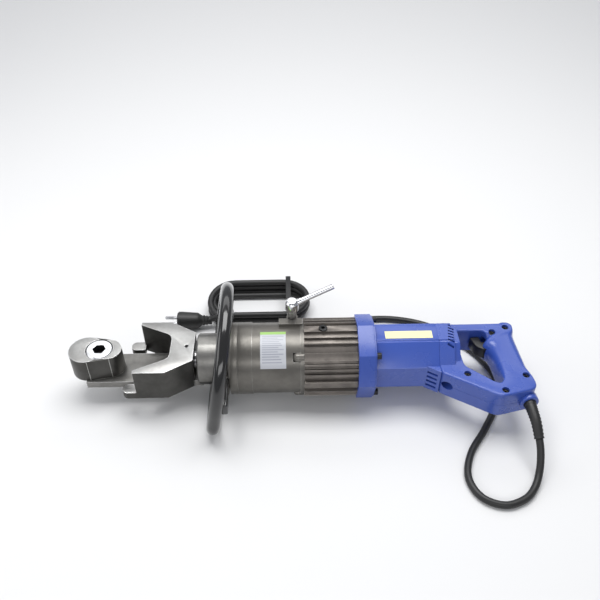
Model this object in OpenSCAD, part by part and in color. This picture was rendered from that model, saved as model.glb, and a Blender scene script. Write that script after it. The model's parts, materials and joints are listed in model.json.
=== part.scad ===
// Portable electro-hydraulic rebar bender, lying level on its loop handle and its motor flange.
// Millimetres, +Z up, tool axis along X with the bending head towards -X and the grip towards +X.
// The origin is on the floor, under the middle of the tool's length, its cord left out.

/* [Whole tool] */
// Outer diameter of the hydraulic body
body_d = 87; // [85:1:110]
// Length of the hydraulic body
body_len = 78; // [70:1:100]
// Length of the finned pump housing
pump_len = 63.5; // [60:0.5:85]
// Length of the motor housing behind its flange
motor_len = 74.5; // [72:0.5:100]

/* [Bending head] */
// Thickness of the base plate
plate_t = 9.5; // [6:0.5:12]
// Width of the base plate
plate_w = 47; // [40:1:52]
// Diameter of the neck that holds the base plate
neck_d = 62; // [60:1:70]
// Length of the neck
neck_len = 39; // [34:1:55]
// Height of the fork
fork_h = 44; // [40:1:50]
// Width across the fork's jaws
fork_w = 85; // [82:1:100]
// Length of the fork from its rear face to the tips of its jaws
fork_len = 68; // [64:1:80]
// Depth of the fork's mouth
mouth_deep = 40; // [34:1:44]
// Travel of the fork and its piston
stroke = 42; // [30:1:44]

/* [Former] */
// Height of the former
former_h = 32; // [26:1:36]
// Radius of the former's wide end
former_r = 21; // [19:0.5:24]
// Radius of the former's narrow end
former_nose_r = 16; // [12:0.5:18]
// Distance between the centres of its two ends
former_span = 26; // [22:1:34]
// Radius of the former screw's head
screw_head_r = 16; // [13:0.5:16]
// Radius of the former screw's shank
screw_shank_r = 9; // [7:0.5:11]

/* [Hydraulics] */
// Bore of the cylinder
cyl_bore = 40; // [36:1:44]
// Wall of the cylinder barrel
cyl_wall = 5; // [4:0.5:6]
// Diameter of the piston rod
rod_d = 24; // [18:1:24]
// Length of the piston
piston_len = 12; // [10:1:18]

/* [Loop handle] */
// Diameter of the loop handle's tube
loop_tube = 15.5; // [12:0.5:20]
// Radius of the loop handle's centre line about the axis
loop_r = 85; // [78:1:100]
// Angle that the loop leans back towards the motor
loop_lean = 9.5; // [5:0.5:14]

/* [Motor] */
// Width across the flats of the octagonal motor flange
flange_af = 94; // [92:1:110]
// Length of the motor flange
flange_len = 21; // [21:1:30]
// Width across the flats of the octagonal motor housing
motor_af = 75; // [72:1:86]
// Wall of the plastic housings
shell_t = 3; // [2.5:0.5:4]
// Radius of the armature's shaft
shaft_r = 4.5; // [3.5:0.5:5]
// Teeth of the motor pinion
pinion_teeth = 12; // [10:1:14]
// Teeth of the pump gear
gear_teeth = 30; // [28:1:32]

/* [Handle] */
// Thickness of the D-handle
handle_t = 36; // [32:1:44]
// Travel of the trigger
trigger_travel = 6; // [4:1:8]

/* [Cord] */
// Diameter of the mains lead
cord_d = 8.4; // [7:0.2:10]

/* [Hidden] */
$fn = 64;

fit = 0.05;         // running clearance on a radius
face_gap = 0.3;     // clearance between flat faces that turn on each other
gap = 0.5;          // clearance between parts that slide past each other
eps = 0.01;
flange_r = flange_af / 2 / cos(22.5);
axis_h = flange_r;  // the flange's lowest corner stands on the floor

// Stations along the axis, counted from the middle of the flange
flange_x0 = -flange_len / 2;
flange_x1 = flange_len / 2;
pump_x0 = flange_x0 - pump_len;
body_x0 = pump_x0 - body_len;
collar_len = 10;
collar_x0 = body_x0 - collar_len;
neck_x0 = collar_x0 - neck_len;
fork_x1 = neck_x0 - 4;
fork_x0 = fork_x1 - fork_len;
motor_x1 = flange_x1 + motor_len;

// Bending head
plate_z1 = -rod_d / 2 - 1;
plate_z0 = plate_z1 - plate_t;
pin_x = fork_x0 - 45.5;
plate_x0 = pin_x - 17;
former_off = 15.5;  // from the pin to the centre of the wide end
former_z0 = plate_z1 + face_gap;
former_z1 = former_z0 + former_h;
recess_t = 6;
neck_r = neck_d / 2;
cyl_r = cyl_bore / 2;
barrel_r = cyl_r + cyl_wall;
rod_r = rod_d / 2;
barrel_x0 = neck_x0 + 2;
gland_len = 14;
spring_shut = 14;   // what the spring still needs with the ram fully out
barrel_x1 = barrel_x0 + gland_len + stroke + spring_shut + piston_len + 1;
piston_x1 = barrel_x1 - 1;
piston_x0 = piston_x1 - piston_len;
spring_x0 = barrel_x0 + gland_len;
spring_len = piston_x0 - spring_x0;
spring_wire = 2.4;
spring_turns = 5;

// Pump and gears
body_r = body_d / 2;
fin_r = body_r + 3.5;
case_r = body_r;
case_in_r = body_r - 4;
gear_module = 1;
pinion_r = pinion_teeth * gear_module / 2;
gear_r = gear_teeth * gear_module / 2;
shaft_drop = pinion_r + gear_r;
ecc_shaft_r = 5;
ecc_throw = 2;
ecc_r = 9;
ecc_ring_r = 13;
ecc_x0 = pump_x0 + 18;
ecc_w = 10;
pump_disc_t = 10;
bearing_r = 11;
bearing_w = 7;
gear_plate_t = 8;
gear_plate_x0 = flange_x0 - 17.5;
gear_w = 9;
gear_x0 = flange_x0 - 1.5;

// Motor
motor_bearing_r = 13;
motor_bearing_w = 7;
core_r = 21;
core_x0 = flange_x1 + 24;
core_len = 42;
comm_x0 = motor_x1 + 2;
comm_len = 12;
comm_r = 11;

// Handle, seen from above
handle_z = handle_t / 2;
hx = motor_x1;      // where the handle halves meet the motor housing
handle_outline = [[hx, 34.5], [hx + 93, 34.5], [hx + 99, 32], [hx + 101, 27], [hx + 100, 14],
    [hx + 103, -40], [hx + 106, -67], [hx + 102, -74], [hx + 64, -83.5], [hx + 58, -82],
    [hx, -46.5]];
handle_opening = [[hx + 30, 20], [hx + 33, 22.5], [hx + 66, 22.5], [hx + 67, 12], [hx + 63, 5],
    [hx + 66, -6], [hx + 70, -58], [hx + 66, -63], [hx + 60, -62], [hx + 29, -35],
    [hx + 28, -10]];
handle_bosses = [[hx + 21, 25], [hx + 92, 27], [hx + 74, 19.5], [hx + 97, -53], [hx + 30, -49],
    [hx + 68, -75]];
gland_x = hx + 97;
gland_y = -71;
gland_bore = 7.5;

// The mains lead's route on the floor, from the boot to the hank
cord_r = cord_d / 2;
lie_z = 4.4;
hank_y = 142;
route = [[gland_x + 4, -119, 36], [gland_x + 5, -129, 26], [gland_x + 3, -143, 13],
    [gland_x - 5, -160, lie_z + 1], [gland_x - 20, -175, lie_z], [gland_x - 44, -182, lie_z],
    [gland_x - 67, -171, lie_z], [gland_x - 76, -145, lie_z], [gland_x - 66, -113, lie_z],
    [gland_x - 43, -80, lie_z], [gland_x - 22, -44, lie_z], [gland_x - 11, -6, lie_z],
    [gland_x - 20, 30, lie_z], [gland_x - 43, 64, lie_z], [gland_x - 80, 98, lie_z],
    [gland_x - 130, 114, lie_z], [gland_x - 185, 113, lie_z], [gland_x - 242, hank_y - 34, lie_z]];
hank_x1 = gland_x - 242;
hank_len = 144;
hank_w = 77;
hank_h = 26;
hank_z = 1.2;

function at(a, r) = [r * cos(a), r * sin(a)];

// Everything is drawn about the tool's axis, from the middle of the flange, and moved here
x_min = pin_x - former_off - former_r;
x_max = hx + 106;
x_shift = -(x_min + x_max) / 2;
module on_axis() { translate([x_shift, 0, axis_h]) children(); }
module on_floor() { translate([x_shift, 0, 0]) children(); }
// A rod, cone or ring along X, from x on
module rod_x(x, len, r, r2 = -1) {
    translate([x, 0, 0]) rotate([0, 90, 0]) cylinder(h = len, r1 = r, r2 = r2 < 0 ? r : r2);
}
module ring_x(x, len, outer, inner) {
    difference() {
        rod_x(x, len, outer);
        rod_x(x - 1, len + 2, inner);
    }
}
// A flat shape in the Y-Z plane, drawn with Y to the right and Z up, extruded along +X
module along_x(x, len) {
    translate([x, 0, 0]) rotate([90, 0, 90]) linear_extrude(len) children();
}
module octagon(af, turn = 22.5) { rotate(turn) circle(r = af / 2 / cos(22.5), $fn = 8); }

// ---------------------------------------------------------------- bending head
// Base plate and neck, one forging
module head_frame() color([0.36, 0.36, 0.35]) on_axis() difference() {
    union() {
        translate([plate_x0, -plate_w / 2, plate_z0]) cube([neck_x0 - plate_x0 + 6, plate_w, plate_t]);
        rod_x(neck_x0, 2, neck_r - 2, neck_r);
        rod_x(neck_x0 + 2, neck_len - 2, neck_r);
    }
    rod_x(neck_x0 + 2, neck_len, barrel_r);
    rod_x(neck_x0 - 1, 4, rod_r + 1.5);
    translate([neck_x0 - 1, -neck_r, neck_r - 0.6]) cube([neck_len + 2, neck_d, 5]);
    translate([pin_x, 0, plate_z0 - 1]) cylinder(h = plate_t + 2, r = screw_shank_r);
}

// Two ends of different radius joined by their tangents
module egg(r1, r2, span) {
    lean = asin((r1 - r2) / span);
    circle(r = r1);
    translate([span, 0]) circle(r = r2);
    polygon([at(90 - lean, r1), at(90 - lean, r2) + [span, 0], at(lean - 90, r2) + [span, 0],
        at(lean - 90, r1)]);
}
module former() color([0.5, 0.5, 0.49]) on_axis() translate([pin_x, 0, 0]) difference() {
    translate([-former_off, 0, former_z0]) linear_extrude(former_h)
        egg(former_r, former_nose_r, former_span);
    translate([0, 0, former_z0 - 1]) cylinder(h = former_h + 2, r = screw_shank_r + fit);
    translate([0, 0, former_z1 - recess_t]) cylinder(h = recess_t + 1, r = screw_head_r + 0.4);
}
module former_screw() color([0.85, 0.86, 0.87]) on_axis() translate([pin_x, 0, 0]) difference() {
    union() {
        translate([0, 0, plate_z0]) cylinder(h = former_z1 - plate_z0 - 1, r = screw_shank_r);
        translate([0, 0, former_z1 - recess_t + face_gap]) cylinder(h = recess_t - 1, r = screw_head_r);
        translate([0, 0, former_z1 - 1 + face_gap]) cylinder(h = 1.5, r1 = screw_head_r, r2 = screw_head_r - 1.5);
    }
    translate([0, 0, former_z1 - 11]) cylinder(h = 20, r = 8, $fn = 6);
}

// The fork: two jaws and skirts that straddle the base plate
fork_y = fork_w / 2;
fork_rear_y = plate_w / 2;
tip_in = fork_y - 4.5;
throat_x = fork_x0 + mouth_deep;
module fork_plan() {
    polygon([[fork_x0, fork_y], [fork_x0 + 0.54 * fork_len, fork_y], [fork_x1, fork_rear_y],
        [fork_x1, -fork_rear_y], [fork_x0 + 0.54 * fork_len, -fork_y], [fork_x0, -fork_y],
        [fork_x0, -tip_in], [throat_x - 5, -tip_in / 2 - 2.5], [throat_x - 1.2, -tip_in / 2 + 1],
        [throat_x, -12], [throat_x, 12], [throat_x - 1.2, tip_in / 2 - 1],
        [throat_x - 5, tip_in / 2 + 2.5], [fork_x0, tip_in]]);
}
tab_len = 17;
tab_w = 14;
module fork() color([0.5, 0.49, 0.47]) on_axis() difference() {
    union() {
        translate([0, 0, -fork_h / 2]) linear_extrude(fork_h) fork_plan();
        for (s = [-1, 1]) translate([fork_x0 - tab_len, s * (fork_y - tab_w / 2), -fork_h / 2]) {
            translate([tab_w / 2, -tab_w / 2, 0]) cube([tab_len - tab_w / 2 + 1, tab_w, 10]);
            translate([tab_w / 2, 0, 0]) cylinder(h = 10, r = tab_w / 2);
        }
    }
    // room for the base plate
    translate([fork_x0 - 1, -plate_w / 2 - gap, -fork_h]) cube([fork_len + 2, plate_w + 2 * gap, fork_h + plate_z1 + gap]);
    // socket of the piston rod, and the set screw's hole
    rod_x(fork_x1 - 14, 20, rod_r - 2);
    translate([fork_x1 - 9, 0, 0]) cylinder(h = fork_h, r = 2.5);
}
module fork_set_screw() color([0.2, 0.2, 0.2]) on_axis() translate([fork_x1 - 9, 0, rod_r - 2]) difference() {
    cylinder(h = fork_h / 2 - rod_r, r = 2.5);
    translate([0, 0, fork_h / 2 - rod_r - 3]) cylinder(h = 5, r = 1.4, $fn = 6);
}
module piston_rod() color([0.75, 0.76, 0.77]) on_axis() {
    rod_x(fork_x1 - 14, 14, rod_r - 2);
    rod_x(fork_x1, piston_x1 - fork_x1, rod_r);
}
module piston() color([0.45, 0.45, 0.44]) on_axis() difference() {
    ring_x(piston_x0, piston_len, cyl_r - fit, rod_r);
    ring_x(piston_x0 + 3, 5, cyl_r + 1, cyl_r - 3);
}
module piston_seal() color([0.1, 0.1, 0.1]) on_axis() ring_x(piston_x0 + 3, 5, cyl_r - fit, cyl_r - 3);

// A helical spring: one ring of points after another along the coil
spring_steps = 16;
spring_sides = 6;
coil_r = (rod_r + cyl_r) / 2;
spring_n = spring_turns * spring_steps;
spring_pitch_len = spring_len - spring_wire - 1;
function coil_at(i) = let (t = i / spring_steps * 360)
    [spring_x0 + 0.5 + spring_wire / 2 + spring_pitch_len * i / spring_n, coil_r * cos(t), coil_r * sin(t)];
module return_spring() color([0.3, 0.3, 0.32]) on_axis()
    tube([for (i = [0:spring_n]) coil_at(i)], spring_wire / 2, spring_sides);

module rod_gland() color([0.7, 0.6, 0.35]) on_axis() ring_x(barrel_x0, gland_len, cyl_r, rod_r + fit);
module wiper_seal() color([0.1, 0.1, 0.1]) on_axis() ring_x(neck_x0 + 0.2, 1.8, rod_r + 1.5, rod_r + fit);
module cylinder_barrel() color([0.6, 0.6, 0.6]) on_axis() ring_x(barrel_x0, barrel_x1 - barrel_x0, barrel_r, cyl_r);

// ---------------------------------------------------------------- hydraulic body
lug_w = 16;
lug_t = 8;
module front_collar() color([0.37, 0.36, 0.33]) on_axis() ring_x(collar_x0, collar_len, body_r, barrel_r);

// The loop handle: an arc of tube closed by a straight bar, leaning back at the top
bar_z = -(axis_h - loop_tube / 2);
bar_r = loop_tube / 2;
corner_r = 22;
lean_x = collar_x0 - 14;
corner_y = loop_r * cos(6);
side_z = loop_r * sin(-6);
loop_corner = [for (a = [0:18:72]) [corner_y - corner_r + corner_r * cos(a), bar_z + corner_r - corner_r * sin(a)]];
loop_half = concat([for (a = [90:-12:-6]) at(a, loop_r)], loop_corner, [[corner_y - corner_r, bar_z], [20, bar_z], [0, bar_z]]);
loop_other = [for (i = [len(loop_half) - 2:-1:1]) [-loop_half[i].x, loop_half[i].y]];
loop_yz = concat(loop_half, loop_other);
loop_points = [for (p = loop_yz) [lean_x + p.y * tan(loop_lean), p.x, p.y]];
module loop_handle() color([0.05, 0.05, 0.05]) on_axis() {
    tube(loop_points, bar_r, 12, true);
    // lugs that join the loop to the collar
    for (s = [-1, 1]) translate([collar_x0 - lug_t, s > 0 ? body_r - 10 : -loop_r, -lug_w / 2])
        cube([lug_t, loop_r - body_r + 10, lug_w]);
}
module loop_clamp_bolts() color([0.25, 0.25, 0.25]) on_axis()
    for (s = [-1, 1]) translate([0, s * (body_r - 4), 0]) {
        rod_x(collar_x0 - lug_t - 4, 4, 5);
    }

bolt_ring_r = body_r - 3;
boss_len = 7;
module bolt_places() for (a = [45:90:315]) rotate([a, 0, 0]) translate([0, 0, bolt_ring_r]) children();
module hydraulic_body() color([0.37, 0.36, 0.33]) on_axis() difference() {
    union() {
        rod_x(body_x0, 17, body_r);
        rod_x(body_x0 + 17, body_len - 17, body_r - 0.8);
        rod_x(pump_x0 - 4, 4, body_r + 1);
        translate([valve_x - 16, valve_y - 13, 20]) cube([28, 10, pad_z - 20]);
        translate([valve_x, valve_y, 20]) cylinder(h = pad_z - 20, r = 6.5);
        bolt_places() rod_x(pump_x0 - boss_len, boss_len, 5.5);
    }
    rod_x(body_x0 - 1, barrel_x1 - body_x0 + 1, barrel_r);
    // oil way from the pump to the cylinder
    rod_x(barrel_x1 - 1, pump_x0 - barrel_x1 + 2, 3);
    translate([valve_x, valve_y, pad_z - 11]) cylinder(h = 20, r = valve_r);
    bolt_places() rod_x(pump_x0 - boss_len - 1, boss_len + 2, 2.5);
    // pockets for the bolts' heads
    bolt_places() rod_x(pump_x0 - boss_len - 6, 6, 6);
}

// ---------------------------------------------------------------- release lever
valve_x = pump_x0 - 13;
valve_y = 23;
valve_r = 3.5;
pad_z = body_r + 2.5;
hub_z = pad_z + 12;
hub_h = 14;
hub_r = 8;
module release_valve() color([0.7, 0.7, 0.7]) on_axis() translate([valve_x, valve_y, 0]) {
    translate([0, 0, pad_z - 10.5]) cylinder(h = 10.8, r = valve_r - fit);
    translate([0, 0, pad_z + 0.3]) cylinder(h = hub_z - pad_z - 0.3, r = 5.6);
}
module lever_hub() color([0.85, 0.85, 0.85]) on_axis() translate([valve_x, valve_y, hub_z]) {
    cylinder(h = hub_h - 3, r = hub_r);
    translate([0, 0, hub_h - 3]) cylinder(h = 3, r1 = hub_r, r2 = hub_r - 2.5);
}
lever_len = 54;
lever_rise = 22;
lever_turn = 10;
module lever_rod() color([0.85, 0.85, 0.85]) on_axis() translate([valve_x, valve_y, hub_z + hub_h / 2])
    rotate([0, 0, lever_turn]) rotate([0, 90 - lever_rise, 0]) difference() {
        union() {
            translate([0, 0, hub_r - 1.5]) cylinder(h = 8, r1 = 4.4, r2 = 3.2);
            translate([0, 0, hub_r + 6]) cylinder(h = lever_len - hub_r - 6, r = 3.2);
        }
        translate([0, 0, -1]) cylinder(h = hub_r - 0.4, r = 5);
    }

// ---------------------------------------------------------------- pump housing
thin_ribs = [17, 25, 33, 65, 75, 105, 115, 147, 155, 163, -17, -30, -65, -75, -105, -115, -150, -163];
wide_ribs = [45, 90, 135, 0, 180, -45, -90, -135];
module rib(a, w) rotate([a, 0, 0])
    translate([pump_x0 + 0.5, -fin_r, -w / 2]) cube([pump_len - 1, fin_r - case_r + 1.5, w]);
module fin_housing() color([0.4, 0.37, 0.34]) on_axis() difference() {
    union() {
        rod_x(pump_x0, pump_len, case_r - 0.5);
        for (a = thin_ribs) rib(-a, 2.2);
        for (a = wide_ribs) rib(-a, 9);
    }
    rod_x(pump_x0 - 1, pump_len + 2, case_in_r);
    translate([plug_x, 0, 20]) cylinder(h = 40, r = plug_r);
}
plug_x = pump_x0 + 23;
plug_r = 4;
module oil_plug() color([0.1, 0.1, 0.1]) on_axis() translate([plug_x, 0, case_in_r + 0.2]) difference() {
    union() {
        cylinder(h = fin_r - case_in_r, r = plug_r);
        translate([0, 0, fin_r - case_in_r - 0.2]) cylinder(h = 2, r = plug_r + 1);
    }
    translate([0, 0, fin_r - case_in_r - 2]) cylinder(h = 5, r = 2.3, $fn = 6);
}
module housing_bolts() color([0.4, 0.39, 0.36]) on_axis() bolt_places() {
    rod_x(pump_x0 - boss_len - 1, boss_len + 1, 2.5);
    rod_x(pump_x0 - boss_len - 5.5, 5.5, 3, 5.7);
}
module oil_bladder() color([0.12, 0.12, 0.12]) on_axis() translate([pump_x0 + 12, 0, 0]) rotate([90, 0, 90])
    rotate([0, 0, 18]) rotate_extrude(angle = 144) translate([case_in_r - 10, 0]) square([9, 30]);
module pump_block() color([0.55, 0.55, 0.52]) on_axis() difference() {
    union() {
        rod_x(pump_x0, pump_disc_t, case_in_r);
        translate([pump_x0 + pump_disc_t - eps, -14, pump_z]) cube([24, 28, 22]);
    }
    translate([0, 0, -shaft_drop]) rod_x(pump_x0 + pump_disc_t - bearing_w, bearing_w + 1, bearing_r);
    translate([0, 0, -shaft_drop]) rod_x(pump_x0 - 1, pump_disc_t + 2, ecc_shaft_r + 1);
    translate([ecc_x0 + ecc_w / 2, 0, pump_z - 1]) cylinder(h = 17, r = 4);
}
pump_z = -shaft_drop + ecc_ring_r + ecc_throw + 2;
module pump_plunger() color([0.75, 0.75, 0.75]) on_axis()
    translate([ecc_x0 + ecc_w / 2, 0, -shaft_drop + ecc_ring_r + ecc_throw + 0.4]) cylinder(h = 14, r = 4);
module bearing(x, w, outer, inner) color([0.65, 0.66, 0.67]) ring_x(x, w, outer, inner);
module front_shaft_bearing() on_axis() translate([0, 0, -shaft_drop])
    bearing(pump_x0 + pump_disc_t - bearing_w, bearing_w, bearing_r, ecc_shaft_r + fit);
module rear_shaft_bearing() on_axis() translate([0, 0, -shaft_drop])
    bearing(gear_plate_x0 + 1, bearing_w, bearing_r, ecc_shaft_r + fit);
module gear_plate() color([0.55, 0.55, 0.52]) on_axis() difference() {
    rod_x(gear_plate_x0, gear_plate_t, case_in_r);
    translate([0, 0, -shaft_drop]) rod_x(gear_plate_x0 + 1, gear_plate_t, bearing_r);
    translate([0, 0, -shaft_drop]) rod_x(gear_plate_x0 - 1, gear_plate_t, ecc_shaft_r + 1);
}
module eccentric_shaft() color([0.6, 0.6, 0.6]) on_axis() translate([0, 0, -shaft_drop]) {
    rod_x(pump_x0 + 1, gear_x0 + gear_w - pump_x0 - 1, ecc_shaft_r);
    translate([0, 0, ecc_throw]) rod_x(ecc_x0, ecc_w, ecc_r);
}
module eccentric_bearing() on_axis() translate([0, 0, ecc_throw - shaft_drop])
    bearing(ecc_x0, ecc_w, ecc_ring_r, ecc_r);

// A spur gear's outline with straight-sided teeth; turn is the angle of its first tooth
function tooth(t, n, r, m) = let (p = 360 / n) [
    at(t - 0.36 * p, r - 1.2 * m), at(t - 0.22 * p, r), at(t - 0.10 * p, r + 0.9 * m),
    at(t + 0.10 * p, r + 0.9 * m), at(t + 0.22 * p, r), at(t + 0.36 * p, r - 1.2 * m)];
module gear_plan(n, r, m, turn) polygon([for (i = [0:n - 1]) each tooth(turn + i * 360 / n, n, r, m)]);
module drive_gear() color([0.5, 0.5, 0.5]) on_axis() translate([0, 0, -shaft_drop]) difference() {
    along_x(gear_x0, gear_w) gear_plan(gear_teeth, gear_r, gear_module, 90 + 180 / gear_teeth);
    rod_x(gear_x0 - 1, gear_w + 2, ecc_shaft_r);
}

// ---------------------------------------------------------------- motor
flange_wall = 7.5;
flange_bore_r = shaft_drop + gear_r + gear_module + 0.7;
module motor_flange() color([0.24, 0.3, 0.62]) on_axis() difference() {
    union() {
        along_x(flange_x0, flange_len - 2) octagon(flange_af, 0);
        along_x(flange_x1 - 2 - eps, 2 + eps) octagon(flange_af - 3, 0);
    }
    rod_x(flange_x0 - 1, flange_len - flange_wall + 1, flange_bore_r);
    rod_x(flange_x1 - motor_bearing_w, motor_bearing_w + 1, motor_bearing_r);
    rod_x(flange_x0, flange_len, shaft_r + 3);
}
flange_screw_r = flange_af / 2 - 3;
module flange_screws() color([0.15, 0.15, 0.16]) on_axis() for (a = [45:90:315])
    rotate([a, 0, 0]) translate([0, 0, flange_screw_r]) difference() {
        rod_x(flange_x1, 5.5, 4);
        rod_x(flange_x1 + 3, 3, 2);
    }
pinion_len = 12;
module motor_pinion() color([0.5, 0.5, 0.5]) on_axis() difference() {
    along_x(gear_x0 - 1, pinion_len) gear_plan(pinion_teeth, pinion_r, gear_module, -90);
    rod_x(gear_x0 - 2, pinion_len + 2, 3);
}
rear_bearing_x = motor_x1 + 16;
rear_bearing_r = 9;
brush_cap_r = 6;
module armature_shaft() color([0.6, 0.6, 0.6]) on_axis() {
    rod_x(gear_x0 - 1, pinion_len + 1, 3);
    rod_x(gear_x0 + pinion_len, rear_bearing_x + 7 - gear_x0 - pinion_len, shaft_r);
}
module armature_core() color([0.35, 0.3, 0.28]) on_axis() difference() {
    ring_x(core_x0, core_len, core_r, shaft_r);
    for (i = [0:11]) rotate([i * 30, 0, 0]) translate([core_x0 - 1, -1, core_r - 4]) cube([core_len + 2, 2, 6]);
}
module commutator() color([0.72, 0.45, 0.25]) on_axis() ring_x(comm_x0, comm_len, comm_r, shaft_r);
module cooling_fan() color([0.15, 0.15, 0.15]) on_axis() {
    ring_x(flange_x1 + 8, 2, 26, shaft_r);
    for (i = [0:9]) rotate([i * 36, 0, 0]) translate([flange_x1 + 9.9, -0.8, 12]) cube([7, 1.6, 13.5]);
}
module front_motor_bearing() on_axis()
    bearing(flange_x1 - motor_bearing_w, motor_bearing_w, motor_bearing_r, shaft_r + fit);
module rear_motor_bearing() on_axis() bearing(rear_bearing_x, 7, rear_bearing_r, shaft_r + fit);
module stator() color([0.4, 0.4, 0.4]) on_axis() ring_x(core_x0 + 1, core_len - 2, motor_af / 2 - shell_t, core_r + 0.8);

// The plastic housing: an octagonal sleeve that flares towards the handle at the front
flare_x0 = motor_x1 - 16;
brush_x = comm_x0 + comm_len / 2;
module motor_housing() color([0.24, 0.3, 0.62]) on_axis() difference() {
    union() {
        along_x(flange_x1, motor_len) octagon(motor_af);
        translate([0, 0, -handle_z]) linear_extrude(handle_t)
            polygon([[flare_x0, -motor_af / 2 + 1], [motor_x1, -motor_af / 2 + 1], [motor_x1, -46.5]]);
        // raised label panel on top
        translate([flange_x1, -13, motor_af / 2 - 1]) cube([motor_len, 26, 1.8]);
    }
    along_x(flange_x1 - 1, motor_len + 2) octagon(motor_af - 2 * shell_t);
    // cooling slots, front and back, next to the brushes
    for (i = [0:3]) translate([motor_x1 - 14, -60, -13 + i * 7]) cube([11, 120, 3]);
}
module brushes() color([0.2, 0.2, 0.2]) on_axis() for (s = [-1, 1])
    translate([brush_x - 4, s > 0 ? comm_r + 0.3 : -comm_r - 14.3, -3]) cube([8, 14, 6]);
module brush_caps() color([0.08, 0.08, 0.08]) on_axis() for (s = [-1, 1])
    translate([brush_x, 0, 0]) rotate([s * 90, 0, 0]) translate([0, 0, motor_af / 2 - 7]) difference() {
        cylinder(h = 6, r = brush_cap_r);
        translate([-5, -0.8, 4.5]) cube([10, 1.6, 3]);
    }

// ---------------------------------------------------------------- handle
module handle_block() {
    difference() {
        union() {
            translate([0, 0, -handle_z]) linear_extrude(handle_t) polygon(handle_outline);
            along_x(hx, 16) octagon(motor_af);
            translate([hx, -13, motor_af / 2 - 1]) cube([18, 26, 1.8]);
            along_x(hx + 16 - eps, 10) octagon(motor_af - 8);
            translate([gland_x, gland_y, 0]) rotate([90, 0, 6]) cylinder(h = 10, r = 11);
        }
        translate([0, 0, -handle_t]) linear_extrude(2 * handle_t) polygon(handle_opening);
        // hollow of the arms and the grip
        translate([0, 0, -handle_z + 4]) linear_extrude(handle_t - 8) difference() {
            polygon([[hx + 22, 30], [hx + 90, 30], [hx + 96, 20], [hx + 96, -20], [hx + 98, -66],
                [hx + 64, -77], [hx + 12, -44], [hx + 12, -12]]);
            offset(delta = 4) polygon(handle_opening);
            for (p = handle_bosses) translate(p) circle(r = 6);
        }
        along_x(hx - 1, 17) octagon(motor_af - 2 * shell_t);
        rod_x(rear_bearing_x, 7, rear_bearing_r);
        // brush tunnels
        for (s = [-1, 1]) translate([brush_x, 0, 0]) rotate([s * 90, 0, 0]) cylinder(h = 70, r = brush_cap_r);
        translate([brush_x, -80, -brush_cap_r]) cube([9, 80 - motor_af / 2, brush_cap_r]);
        // trigger's slot in the grip
        translate([hx + 60, -2, -8.5]) cube([24, 16, 17]);
        for (p = handle_bosses) translate([p.x, p.y, -handle_t]) cylinder(h = 2 * handle_t, r = 2.2);
        for (p = handle_bosses) translate([p.x, p.y, handle_z - 6]) cylinder(h = handle_t, r = 4.2);
        translate([gland_x, gland_y, 0]) rotate([90, 0, 6]) translate([0, 0, -10]) cylinder(h = 30, r = gland_bore);
        for (i = [0:6]) translate([hx + 14.5 - i * 0.8, 10 - 4.8 * i, 0]) rotate([0, 0, 25])
            translate([0, -1.1, 26]) cube([8, 2.2, 20]);
    }
}
module handle_upper_half() color([0.24, 0.3, 0.62]) on_axis() intersection() {
    handle_block();
    translate([hx, -150, 0]) cube([200, 300, 100]);
}
module handle_lower_half() color([0.22, 0.28, 0.6]) on_axis() intersection() {
    handle_block();
    translate([hx, -150, -100]) cube([200, 300, 100]);
}
module handle_screws() color([0.15, 0.15, 0.15]) on_axis() for (p = handle_bosses)
    translate([p.x, p.y, -handle_z + 4]) difference() {
        union() {
            cylinder(h = handle_t - 10, r = 2.2);
            translate([0, 0, handle_t - 10]) cylinder(h = 3, r = 4);
        }
        translate([0, 0, handle_t - 9]) cylinder(h = 5, r = 1.8, $fn = 6);
    }
trigger_x = hx + 48;
module trigger() color([0.06, 0.06, 0.06]) on_axis() translate([trigger_x, 0, -8]) linear_extrude(16)
    polygon([[0, 20], [3, 10], [5, 5], [12, -0.5], [22, -0.5], [22, 12], [13, 13], [11.5, 21.5]]);
module switch_body() color([0.12, 0.12, 0.12]) on_axis()
    translate([trigger_x + 22 + trigger_travel + 1, 0, -9]) cube([16, 14, 18]);

// ---------------------------------------------------------------- labels
module warning_label() color([0.88, 0.88, 0.94]) on_axis() translate([body_x0 + 27, 0, 0]) rotate([90, 0, 90])
    rotate([0, 0, 90]) rotate_extrude(angle = 62) translate([body_r - 0.8, 0]) square([0.4, 30]);
module rating_label() color([0.95, 0.93, 0.55]) on_axis()
    translate([flange_x1 + 12, -10, motor_af / 2 + 0.8]) cube([56, 12, 0.4]);

// ---------------------------------------------------------------- mains lead
function unit(v) = v / norm(v);
// Direction of a path at point i; a closed path wraps round
function dir(p, i, closed) = let (n = len(p))
    unit(closed ? p[(i + 1) % n] - p[(i + n - 1) % n] : p[min(i + 1, n - 1)] - p[max(i - 1, 0)]);
function side(d) = abs(d.z) > 0.9 ? unit(cross(d, [0, 1, 0])) : unit(cross(d, [0, 0, 1]));
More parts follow.
